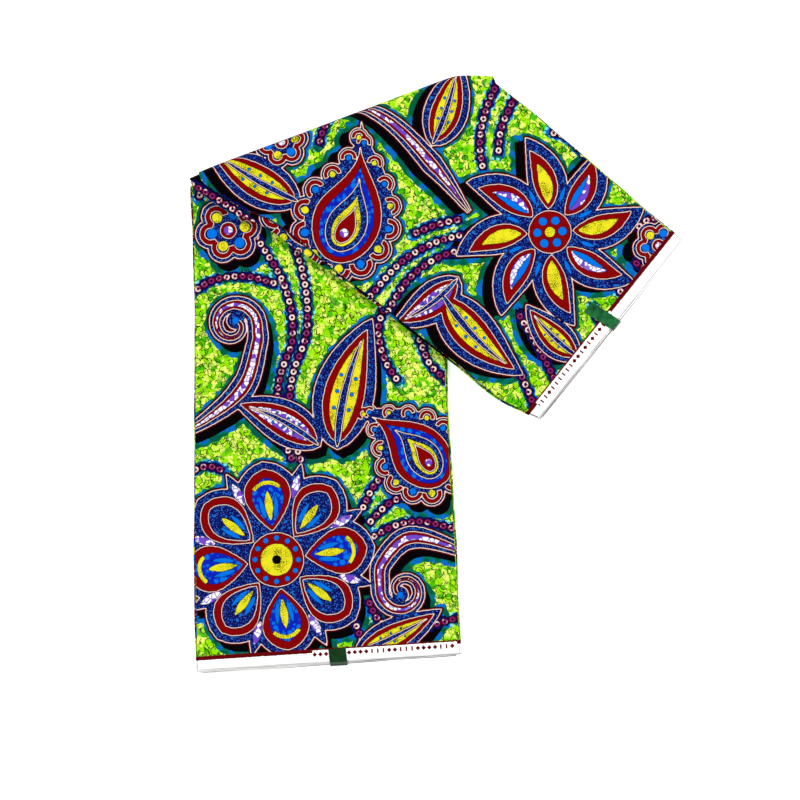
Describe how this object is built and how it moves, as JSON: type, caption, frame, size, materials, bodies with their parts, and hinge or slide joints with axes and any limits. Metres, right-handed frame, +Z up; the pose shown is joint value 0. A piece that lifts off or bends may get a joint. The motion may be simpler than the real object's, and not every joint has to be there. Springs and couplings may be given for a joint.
{
  "type": "folded length of african print fabric",
  "caption": "Length of wax print cotton folded to a long flat strip of layers, the strip folded over once on the slant, lying flat with a tape tab at each end.",
  "frame": {"origin": "under the middle of the folded cloth's box, on the surface that it lies on", "axes": "+Z up, +Y along the lower stretch towards the slanting fold, +X towards the side where the upper stretch comes down"},
  "size_m": [0.645, 0.783, 0.023],
  "materials": {
    "printed_cotton": "wax printed cotton with a light sheen",
    "layer_edges": "stacked cotton layers with pale selvedges",
    "green_tape": "thin glossy tape"
  },
  "bodies": {
    "root": {"lower_hidden_layers": "layer_edges", "lower_top_layer": "printed_cotton", "upper_hidden_layers": "layer_edges", "upper_top_layer": "printed_cotton", "lower_tape_tab": "green_tape", "upper_tape_tab": "green_tape"}
  },
  "joints": []
}
